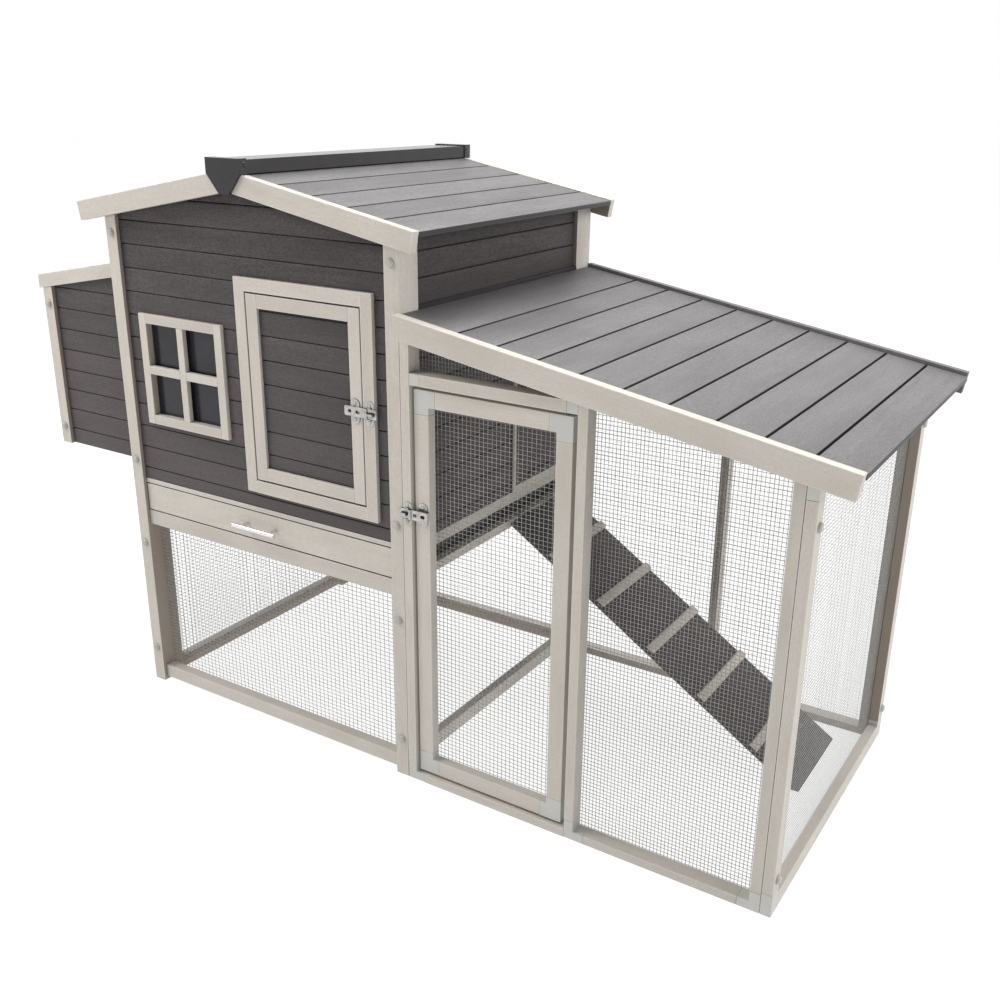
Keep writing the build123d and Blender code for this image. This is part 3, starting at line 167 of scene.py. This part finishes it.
def board_material(name, colours, streak_amount, relief, roughness, wear, spread=0.10, seam_shade=0.0,
                   seam_depth=(0.0006, 0.0022), paler_low=0.0, inside=None, shelter_shade=0.0, crevice_shade=0.0):
    """Composite board: embossed grain, soft blotches, a tone of its own for each board, worn rims.

    Optional: painted shade on a board's thin sides away from its faces, which darkens the seams between
    planks, grooves and edges; a paler colour low down; a darker brown on inward faces, partly raw wood and
    partly painted shade;
    painted shade on roofs near other surfaces; painted shade in narrow gaps.
    """
    base, streak, shade = colours
    g = Graph(name)
    local = g.attribute("local")
    board = g.split(g.attribute("board"))
    shift = g.node("ShaderNodeCombineXYZ")
    for socket, source in zip(shift.inputs, board):
        g.feed(socket, g.calc("MULTIPLY", source, GRAIN_SHIFT))
    grain_at = g.vector("ADD", local, shift.outputs[0])
    fibres = g.drawn_out(grain_at, (26.0, 520.0, 520.0), 5.0, 0.62, 0.15)
    bands = g.drawn_out(grain_at, (2.2, 60.0, 60.0), distortion=0.35)
    mottle = g.drawn_out(grain_at, (120.0, 230.0, 230.0), roughness=0.6)
    blotch = g.drawn_out(grain_at, (5.0, 16.0, 16.0))
    pores = g.drawn_out(grain_at, (60.0, 900.0, 900.0), detail=2.0)

    long_grain = g.calc("ADD", g.calc("MULTIPLY", fibres, 0.34), g.calc("MULTIPLY", bands, 0.16))
    streaks = g.calc("ADD", long_grain, g.calc("MULTIPLY", mottle, 0.5))
    colour = g.mix(g.remap(streaks, 0.40, 0.60, 0.0, streak_amount), base, streak)
    colour = g.mix(g.remap(blotch, 0.42, 0.7, 0.0, 0.5), colour, shade)
    tone = g.calc("ADD", 1.0 - spread / 2, g.calc("MULTIPLY", board[0], spread))
    grey = g.node("ShaderNodeCombineXYZ")
    for socket in grey.inputs:
        g.feed(socket, tone)
    colour = g.mix(1.0, colour, grey.outputs[0], "MULTIPLY")
    # Paler towards the foot: below the given heights the colour moves towards the streak colour.
    if paler_low:
        height = g.split(g.place())[2]
        colour = g.mix(g.remap(height, *PALER_LOW_HEIGHTS, paler_low, 0.0), colour, streak)

    inset = g.split(g.vector("SUBTRACT", g.attribute("half"), g.vector("ABSOLUTE", local)))
    rim = g.calc("MAXIMUM", g.calc("MINIMUM", inset[1], inset[2]), 0.0)
    across = g.calc("MAXIMUM", inset[1], inset[2])
    second = g.calc("MINIMUM", across, g.calc("MAXIMUM", inset[0], inset[2]))
    near = g.calc("ADD", rim, g.calc("MAXIMUM", second, 0.0))
    worn = g.calc("MULTIPLY", g.remap(near, 0.0, RIM, 1.0, 0.0), g.remap(blotch, 0.35, 0.6, 0.3, 1.0))
    wear_amount, wear_colour = wear
    colour = g.mix(g.calc("MULTIPLY", worn, wear_amount), colour, wear_colour)

    # Painted shade: the sides and ends of a board, away from its top and bottom faces, are darkened so the
    # joins between planks, grooves and thin edges read dark.
    if seam_shade:
        colour = g.mix(g.remap(inset[2], *seam_depth, 0.0, seam_shade), colour, darker(base, PAINTED_SHADE_SHARE))
    # A darker brown on faces that look into the coop: partly raw wood, partly painted shade.
    if inside:
        colour = g.mix(g.remap(inward_facing(g), 0.35, 0.6, 0.0, 0.9), colour, inside)
    # Painted shade: a roof board is darkened where other surfaces stand near above it, as next to the house
    # wall.
    if shelter_shade:
        covered = g.remap(g.openness(SHELTER_REACH, 4), 0.5, 0.98, shelter_shade, 0.0)
        colour = g.mix(covered, colour, darker(shade, 0.3))
    # Painted shade: narrow gaps and inner corners are darkened almost to black.
    if crevice_shade:
        gap = g.remap(g.openness(GAP_REACH, 4), 0.25, 0.62, crevice_shade, 0.0)
        colour = g.mix(gap, colour, darker(shade, PAINTED_SHADE_SHARE))
    grain = g.calc("ADD", g.calc("MULTIPLY", fibres, 0.7), g.calc("MULTIPLY", pores, 0.3))
    g.set(color=colour, normal=g.bump(grain, relief, GRAIN_DEPTH), specular=0.35,
          roughness=g.remap(streaks, 0.3, 0.7, roughness[1], roughness[0]))
    return g.material


SPARK_DEPTH = 0.0006
SCRATCH_DEPTH = 0.0003
CORNER_REACH = 0.007


def plastic_material(name, base, shade, roughness, relief=0.12, specular=0.5):
    """Moulded plastic: fine spark texture and faint flow marks."""
    g = Graph(name)
    place = g.place()
    spark = g.noise(place, 900.0, 2.0, 0.6)
    flow = g.noise(place, 14.0, 3.0, 0.5, 0.6)
    colour = g.mix(g.remap(flow, 0.35, 0.65, 0.0, 0.6), base, shade)
    g.set(color=colour, normal=g.bump(spark, relief, SPARK_DEPTH), specular=specular,
          roughness=g.remap(spark, 0.3, 0.7, roughness[0], roughness[1]))
    return g.material


def metal_material(name, base, shade, roughness, scratch=(40.0, 900.0, 900.0), crevice_shade=0.0):
    """Plated or bare metal: cloudy plating, fine scratches, spots of dull oxide, painted shade in the
    corners.
    """
    g = Graph(name)
    place = g.place()
    clouds = g.noise(place, 90.0, 4.0, 0.6)
    lines = g.drawn_out(place, scratch, roughness=0.6)
    spots = g.noise(place, 320.0, 2.0, 0.5)
    colour = g.mix(g.remap(clouds, 0.38, 0.66, 0.0, 0.8), base, shade)
    colour = g.mix(g.remap(spots, 0.62, 0.74, 0.0, 0.5), colour, darker(shade, 0.55))
    # Painted shade: corners, slots and holes are darkened almost to black.
    if crevice_shade:
        corner = g.remap(g.openness(CORNER_REACH, 6), 0.45, 0.95, crevice_shade, 0.0)
        colour = g.mix(corner, colour, darker(shade, 0.10))
    plating = g.remap(clouds, 0.35, 0.65, *roughness)
    rough = g.calc("ADD", plating, g.remap(lines, 0.3, 0.7, -0.05, 0.08))
    g.set(color=colour, metallic=1.0, roughness=rough, normal=g.bump(lines, 0.1, SCRATCH_DEPTH))
    return g.material


# base colour, streaks, blotches
PALE_PAINT = ((0.490, 0.452, 0.405), (0.560, 0.525, 0.478), (0.440, 0.400, 0.352))
DARK_STAIN = ((0.040, 0.033, 0.034), (0.098, 0.084, 0.083), (0.036, 0.031, 0.033))
GREY_STAIN = ((0.120, 0.114, 0.116), (0.185, 0.178, 0.178), (0.104, 0.100, 0.102))
# amount and colour of the wear on rims
PALE_WEAR = (0.45, (0.70, 0.68, 0.64))
PLANK_WEAR = (0.2, (0.15, 0.14, 0.14))
BEAM_WEAR = (0.3, (0.15, 0.14, 0.14))
ROOF_WEAR = (0.2, (0.25, 0.24, 0.24))

TRIM = board_material("trim_board", PALE_PAINT, 0.9, 0.3, (0.42, 0.6), PALE_WEAR,
                      inside=(0.255, 0.215, 0.175), crevice_shade=1.0)
PLANKS = board_material("plank_board", DARK_STAIN, 0.75, 0.5, (0.55, 0.75), PLANK_WEAR,
                        spread=0.24, seam_shade=0.9, paler_low=0.55)
BEAMS = board_material("beam_board", DARK_STAIN, 0.75, 0.5, (0.55, 0.75), BEAM_WEAR,
                       spread=0.24, paler_low=0.4)
ROOF = board_material("roof_board", GREY_STAIN, 0.8, 0.35, (0.34, 0.52), ROOF_WEAR,
                      spread=0.14, seam_shade=0.92, seam_depth=(0.0003, 0.0013), shelter_shade=0.55)
ROOF_EDGE = board_material("roof_edge_board", GREY_STAIN, 0.8, 0.35, (0.4, 0.6), ROOF_WEAR,
                           spread=0.14, crevice_shade=1.0)
CAP = plastic_material("charcoal_plastic", (0.025, 0.023, 0.025), (0.033, 0.030, 0.033),
                       (0.12, 0.2), specular=0.35)
CONNECTOR = plastic_material("connector_plastic", (0.51, 0.505, 0.472), (0.46, 0.455, 0.425),
                             (0.38, 0.55))
BOLT_COVER = plastic_material("bolt_cover_plastic", (0.40, 0.40, 0.37), (0.34, 0.34, 0.32),
                              (0.14, 0.24), relief=0.05)
TRAY = plastic_material("tray_plastic", (0.042, 0.041, 0.044), (0.058, 0.056, 0.058), (0.35, 0.55))
ZINC = metal_material("zinc_plate", (0.52, 0.51, 0.49), (0.33, 0.32, 0.30), (0.22, 0.4), crevice_shade=1.0)
WIRE = metal_material("galvanised_wire", (0.36, 0.35, 0.335), (0.25, 0.245, 0.235), (0.4, 0.6))
# Painted light: a lighter copy of the same galvanised wire, used for the back and end panels.
LIT_WIRE = metal_material("lit_galvanised_wire", (0.56, 0.555, 0.54), (0.40, 0.395, 0.38), (0.35, 0.55))
HANDLE = metal_material("satin_aluminium", (0.80, 0.80, 0.79), (0.68, 0.68, 0.67), (0.22, 0.34),
                        scratch=(900.0, 60.0, 60.0))


def pane_material():
    """Dark tinted sheet with faint haze and wiping marks."""
    g = Graph("tinted_pane")
    place = g.place()
    haze = g.noise(place, 9.0, 4.0, 0.6, 0.8)
    marks = g.drawn_out(place, (25.0, 25.0, 140.0), roughness=0.6)
    colour = g.mix(g.remap(haze, 0.35, 0.7, 0.0, 1.0), (0.009, 0.009, 0.014), (0.021, 0.020, 0.028))
    g.set(color=colour, normal=g.bump(marks, 0.03, 0.001), specular=0.38,
          roughness=g.remap(marks, 0.3, 0.7, 0.12, 0.24))
    return g.material


PANE = pane_material()
FINISH = {"trim": TRIM, "planks": PLANKS, "roof": ROOF, "cap": CAP, "connector": CONNECTOR,
          "pane": PANE, "zinc": ZINC, "handle": HANDLE, "tray": TRAY}
# pen_rafters take the dark beam stain as painted shade for the dark space under the pen roof.
OWN_FINISH = {"bolt_caps": BOLT_COVER, "pen_back_trim": ROOF_EDGE, "pen_rafters": BEAMS,
              "roof_beams": BEAMS, "perches": BEAMS, "ramp_board": BEAMS, "nest_interior": BEAMS,
              "pop_door": BEAMS}


# ---- boards: each solid of a node gets rounded edges and its own grain -----------------------
BOARD_ROUNDING = 0.0014
ROUNDING = {"house_door_latch": 0.0004, "pen_door_latch": 0.0004, "latch_keepers": 0.0004,
            "house_door_knob": 0.0007, "pen_door_knob": 0.0007, "nest_lid_hinge": 0.0005,
            "hinge_fixed_leaves": 0.0005, "ramp_hinge": 0.0005, "house_door_pins": 0.0005,
            "pen_door_pins": 0.0005, "window_pane": 0.0003, "wall_flashing": 0.0006,
            "tray_pan": 0.0008, "bolt_caps": 0.0002, "tray_handle": 0.0002}
ROUNDING_SEGMENTS = 2
ROUNDING_SHARE = 0.3        # a rounding takes at most this share of a board's half thickness
SHARP_EDGE = math.radians(24.0)
FLAT_EDGE = math.radians(0.5)
SAME_POINT = 1e-6
ALIGNED = 0.999             # cosine: a board this close to a world axis lies along it
TOO_STEEP = 0.9             # cosine: an end face this big is not the board's thin side
AREA_DIGITS = 7             # areas that agree to this many digits are equal


def solids_of(mesh):
    """Groups of triangles that form one closed solid each, as lists of corner points."""
    mesh.calc_loop_triangles()
    points = np.zeros(len(mesh.vertices) * 3)
    mesh.vertices.foreach_get("co", points)
    keys = np.round(points.reshape(-1, 3) / SAME_POINT).astype(np.int64)
    _, same = np.unique(keys, axis=0, return_inverse=True)
    same = same.reshape(-1)
    triangles = [tuple(same[i] for i in t.vertices) for t in mesh.loop_triangles]
    beside = {}
    for index, corners in enumerate(triangles):
        for a, b in zip(corners, corners[1:] + corners[:1]):
            beside.setdefault((min(a, b), max(a, b)), []).append(index)
    group = list(range(len(triangles)))

    def root(i):
        while group[i] != i:
            group[i] = group[group[i]]
            i = group[i]
        return i

    for shared in beside.values():
        shared.sort()
        for first, second in zip(shared[::2], shared[1::2]):
            group[root(first)] = root(second)
    found = {}
    for index, t in enumerate(mesh.loop_triangles):
        found.setdefault(root(index), []).append([mesh.vertices[i].co.copy() for i in t.vertices])
    return [found[key] for key in sorted(found)]


def principal_frame(bm):
    """Axes of a board, longest first and thinnest last, and its middle and half sizes along them."""
    at = np.array([tuple(v.co) for v in bm.verts])
    spans = at.max(0) - at.min(0)
    middle = at.mean(0)
    _, _, rows = np.linalg.svd(at - middle, full_matrices=False)
    long = rows[0]
    if abs(long[np.argmax(spans)]) > ALIGNED:
        long = np.eye(3)[np.argmax(spans)]
    widest = max(bm.faces, key=lambda face: round(face.calc_area(), AREA_DIGITS))
    thin = np.array(widest.normal)
    if abs(thin @ long) > TOO_STEEP:
        thin = min(np.eye(3), key=lambda axis: abs(axis @ long))
    thin = thin - (thin @ long) * long
    thin /= np.linalg.norm(thin)
    axes = np.array([long, np.cross(thin, long), thin])
    along = (at - middle) @ axes.T
    low, high = along.min(0), along.max(0)
    return axes, middle + (low + high) / 2 @ axes, (high - low) / 2


def dressed(node, name, material, rounding):
    """The node's solids again, with rounded edges and the attributes that the grain follows."""
    draw = random.Random(f"{node}-0")
    whole = bmesh.new()
    layers = [whole.verts.layers.float_vector.new(key) for key in ("local", "half", "board")]
    for triangles in solids_of(NODES[node].data):
        bm = bmesh.new()
        for corners in triangles:
            bm.faces.new([bm.verts.new(c) for c in corners])
        bmesh.ops.remove_doubles(bm, verts=bm.verts, dist=SAME_POINT)
        bmesh.ops.dissolve_limit(bm, angle_limit=FLAT_EDGE, verts=bm.verts, edges=bm.edges)
        bm.normal_update()
        axes, middle, half = principal_frame(bm)
        sharp = [e for e in bm.edges if len(e.link_faces) == 2 and e.calc_face_angle(0) > SHARP_EDGE]
        if sharp:
            width = min(rounding, ROUNDING_SHARE * float(half.min()))
            bmesh.ops.bevel(bm, geom=sharp, offset=width, segments=ROUNDING_SEGMENTS, profile=0.5,
                            affect="EDGES", clamp_overlap=True)
        mark = (draw.random(), draw.random(), draw.random())
        placed = {}
        for v in bm.verts:
            copy = whole.verts.new(v.co)
            copy[layers[0]] = Vector(axes @ (np.array(v.co) - middle))
            copy[layers[1]] = Vector(half)
            copy[layers[2]] = Vector(mark)
            placed[v] = copy
        for f in bm.faces:
            whole.faces.new([placed[v] for v in f.verts])
        bm.free()
    mesh = bpy.data.meshes.new(name)
    whole.to_mesh(mesh)
    whole.free()
    return settle(name, mesh, material, node)


def settle(name, mesh, material, node, smooth_below=22.0):
    """Puts a finished mesh in the scene in place of a CAD node."""
    mesh.polygons.foreach_set("use_smooth", [True] * len(mesh.polygons))
    mesh.set_sharp_from_angle(angle=math.radians(smooth_below))
    mesh.materials.append(material)
    piece = bpy.data.objects.new(name, mesh)
    scene.collection.objects.link(piece)
    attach(piece, BODY_OF[node])
    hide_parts(node)
    return piece


WIRE_NODES = ("lower_mesh_front", "lower_mesh_back", "lower_mesh_left", "pen_mesh_front",
              "pen_mesh_end", "pen_mesh_back", "pen_door_mesh")
for node in sorted(NODES):
    if node not in WIRE_NODES:
        material = OWN_FINISH.get(node) or FINISH[SLOT_OF[node]]
        dressed(node, node + "_finished", material, ROUNDING.get(node, BOARD_ROUNDING))


# ---- welded wire ----------------------------------------------------------------------------
WIRE_SIDES = 5
HOUSE_PITCH = (0.0142, 0.0112)      # across, up
RUN_PITCH = (0.00885, 0.0095)
DOOR_PITCH = (0.0113, 0.0105)
CORNER_WIDTH = 1e-4                 # points this near to a sheet's side are its corners
SMOOTH_WIRE = 80.0                  # degrees; above the angle between two sides of a wire


def wire(bm, start, end, radius):
    """Straight wire between two points."""
    direction = (end - start).normalized()
    side = direction.orthogonal().normalized()
    other = direction.cross(side)
    rings = []
    for centre in (start, end):
        ring = []
        for k in range(WIRE_SIDES):
            turn = 2 * math.pi * (k + 0.5) / WIRE_SIDES
            ring.append(bm.verts.new(centre + (side * math.cos(turn) + other * math.sin(turn)) * radius))
        rings.append(ring)
    for k in range(WIRE_SIDES):
        after = (k + 1) % WIRE_SIDES
        bm.faces.new((rings[0][k], rings[0][after], rings[1][after], rings[1][k]))
    bm.faces.new(rings[0][::-1])
    bm.faces.new(rings[1])


class Sheet:
    """One flat sheet of a mesh node: upright, with a level foot and a level or sloping top."""

    def __init__(self, triangles):
        points = np.array([tuple(corner) for triangle in triangles for corner in triangle])
        low, high = points.min(0), points.max(0)
        self.thin = int(np.argmin(high - low))
        self.across = 1 - self.thin
        self.foot = low[2]
        self.left, self.right = low[self.across], high[self.across]
        self.middle = (low[self.thin] + high[self.thin]) / 2
        self.half_depth = (high[self.thin] - low[self.thin]) / 2
        self.outward = -1 if self.middle < 0 else 1
        along = points[:, self.across]
        self.top_left = points[along < self.left + CORNER_WIDTH][:, 2].max()
        self.top_right = points[along > self.right - CORNER_WIDTH][:, 2].max()

    def at(self, along, height, depth):
        """Point in the sheet; depth is measured outward from its middle."""
        place = [0.0, 0.0, height]
        place[self.across] = along
        place[self.thin] = self.middle + self.outward * depth
        return Vector(place)

    def top_at(self, along):
        share = (along - self.left) / (self.right - self.left)
        return self.top_left + (self.top_right - self.top_left) * share

    def span_at(self, height, radius):
        """Ends of a cross wire at this height, shortened where the sloping top cuts it."""
        left, right = self.left + radius, self.right - radius
        if height > min(self.top_left, self.top_right) - radius:
            share = (height - self.top_left) / (self.top_right - self.top_left)
            cut = self.left + share * (self.right - self.left)
            if self.top_left > self.top_right:
                right = min(right, cut - radius)
            else:
                left = max(left, cut + radius)
        return left, right


def welded_panel(node, name, pitch, radius=0.00066, material=WIRE, upright=None):
    """Grid of wires that fills each sheet of a node: uprights outside, cross wires inside."""
    bm = bmesh.new()
    for triangles in solids_of(NODES[node].data):
        sheet = Sheet(triangles)
        depth = sheet.half_depth - radius
        width = sheet.right - sheet.left
        count = int((width - 4 * radius) / pitch[0])
        first = (sheet.left + sheet.right - count * pitch[0]) / 2
        for k in range(count + 1):
            along = first + k * pitch[0]
            foot = sheet.at(along, sheet.foot + radius, depth)
            top = sheet.at(along, sheet.top_at(along) - radius, depth)
            wire(bm, foot, top, upright or radius)
        height = sheet.foot + 2 * radius
        while height < max(sheet.top_left, sheet.top_right) - 2 * radius:
            left, right = sheet.span_at(height, radius)
            if right - left > pitch[0]:
                wire(bm, sheet.at(left, height, -depth), sheet.at(right, height, -depth), radius)
            height += pitch[1]
    mesh = bpy.data.meshes.new(name)
    bm.to_mesh(mesh)
    bm.free()
    return settle(name, mesh, material, node, SMOOTH_WIRE)


welded_panel("lower_mesh_front", "lower_wire_front", HOUSE_PITCH)
welded_panel("lower_mesh_back", "lower_wire_back", HOUSE_PITCH, 0.00034, LIT_WIRE)
welded_panel("lower_mesh_left", "lower_wire_left", HOUSE_PITCH, 0.00050)
welded_panel("pen_mesh_front", "run_wire_front", RUN_PITCH)
welded_panel("pen_mesh_end", "run_wire_end", RUN_PITCH, 0.00050, LIT_WIRE, upright=0.00022)
welded_panel("pen_mesh_back", "run_wire_back", RUN_PITCH, 0.00030, LIT_WIRE)
welded_panel("pen_door_mesh", "run_door_wire", DOOR_PITCH)


# ---- floor, light and camera ------------------------------------------------------------------
FLOOR_HALF = 40.0
FLOOR_DROP = 0.0005
FLOOR_GLOW = 0.93           # keeps the floor as pale as the backdrop


def make_floor():
    bm = bmesh.new()
    bmesh.ops.create_grid(bm, x_segments=8, y_segments=8, size=FLOOR_HALF)
    mesh = bpy.data.meshes.new("floor")
    bm.to_mesh(mesh)
    bm.free()
    floor = bpy.data.objects.new("floor", mesh)
    floor.location.z = -FLOOR_DROP
    scene.collection.objects.link(floor)
    g = Graph("pale_floor")
    g.set(color=(0.16, 0.16, 0.16), roughness=0.9, specular=0.0)
    g.feed(g.shader.inputs["Emission Color"], (1.0, 1.0, 1.0))
    g.feed(g.shader.inputs["Emission Strength"], FLOOR_GLOW)
    mesh.materials.append(g.material)


WARM_WHITE = (1.0, 0.985, 0.96)


def area_light(name, location, target, size, power, colour=(1.0, 1.0, 1.0)):
    data = bpy.data.lights.new(name, "AREA")
    data.shape = "RECTANGLE"
    data.size, data.size_y = size
    data.energy = power
    data.color = colour
    light = bpy.data.objects.new(name, data)
    light.location = location
    light.rotation_euler = (Vector(target) - Vector(location)).to_track_quat("-Z", "Y").to_euler()
    scene.collection.objects.link(light)


def ramp(tree, source, numbers):
    """Map Range node that takes source from the first two numbers to the last two."""
    made = tree.nodes.new("ShaderNodeMapRange")
    tree.links.new(source, made.inputs["Value"])
    for socket, number in zip(made.inputs[1:5], numbers):
        socket.default_value = number
    return made


def make_light():
    """White backdrop, dimmer overhead and dimmest over the front, and three soft lamps."""
    world = bpy.data.worlds.new("studio")
    scene.world = world
    world.use_nodes = True
    tree = world.node_tree
    direction = tree.nodes.new("ShaderNodeTexCoord")
    split = tree.nodes.new("ShaderNodeSeparateXYZ")
    tree.links.new(direction.outputs["Generated"], split.inputs[0])
    overhead_level = ramp(tree, split.outputs["Y"], (-0.5, 0.1, 0.08, 0.5))
    fade = ramp(tree, split.outputs["Z"], (0.12, 0.5, 1.0, 0.5))
    tree.links.new(overhead_level.outputs[0], fade.inputs["To Max"])
    background = tree.nodes["Background"]
    background.inputs["Color"].default_value = (1.0, 1.0, 1.0, 1.0)
    tree.links.new(fade.outputs[0], background.inputs["Strength"])
    area_light("overhead", (0.2, 0.6, 6.0), (0.0, 0.0, 0.5), (5.0, 5.0), 440.0)
    area_light("right_side", (4.4, 0.2, 3.2), (0.9, 0.0, 0.5), (2.2, 2.2), 80.0)
    area_light("front_left", (-3.2, -2.4, 4.0), (-0.3, 0.0, 0.7), (2.2, 2.2), 140.0, WARM_WHITE)


CAMERA_AT = (1.65713, -2.37481, 1.65392)
CAMERA_AZIMUTH, CAMERA_DROP, CAMERA_ROLL = 0.559356, 0.361429, 0.0110894
FOCAL = 1.11270             # focal length over image width
CENTRE_SHIFT = (-0.0038, 0.0090)
SENSOR = 36.0
VIEW_END = 200.0


def make_camera():
    data = bpy.data.cameras.new("view")
    camera = bpy.data.objects.new("view", data)
    scene.collection.objects.link(camera)
    cos_a, sin_a = math.cos(CAMERA_AZIMUTH), math.sin(CAMERA_AZIMUTH)
    cos_e, sin_e = math.cos(CAMERA_DROP), math.sin(CAMERA_DROP)
    back = Vector((sin_a * cos_e, -cos_a * cos_e, sin_e))
    right = (-back).cross(Vector((0, 0, 1))).normalized()
    up = right.cross(-back)
    rolled = right * math.cos(CAMERA_ROLL) + up * math.sin(CAMERA_ROLL)
    up = up * math.cos(CAMERA_ROLL) - right * math.sin(CAMERA_ROLL)
    turned = Matrix((rolled, up, back)).transposed().to_4x4()
    camera.matrix_world = Matrix.Translation(CAMERA_AT) @ turned
    data.sensor_width = SENSOR
    data.lens = FOCAL * SENSOR
    data.shift_x, data.shift_y = CENTRE_SHIFT
    data.clip_end = VIEW_END
    scene.camera = camera


make_floor()
make_light()
make_camera()
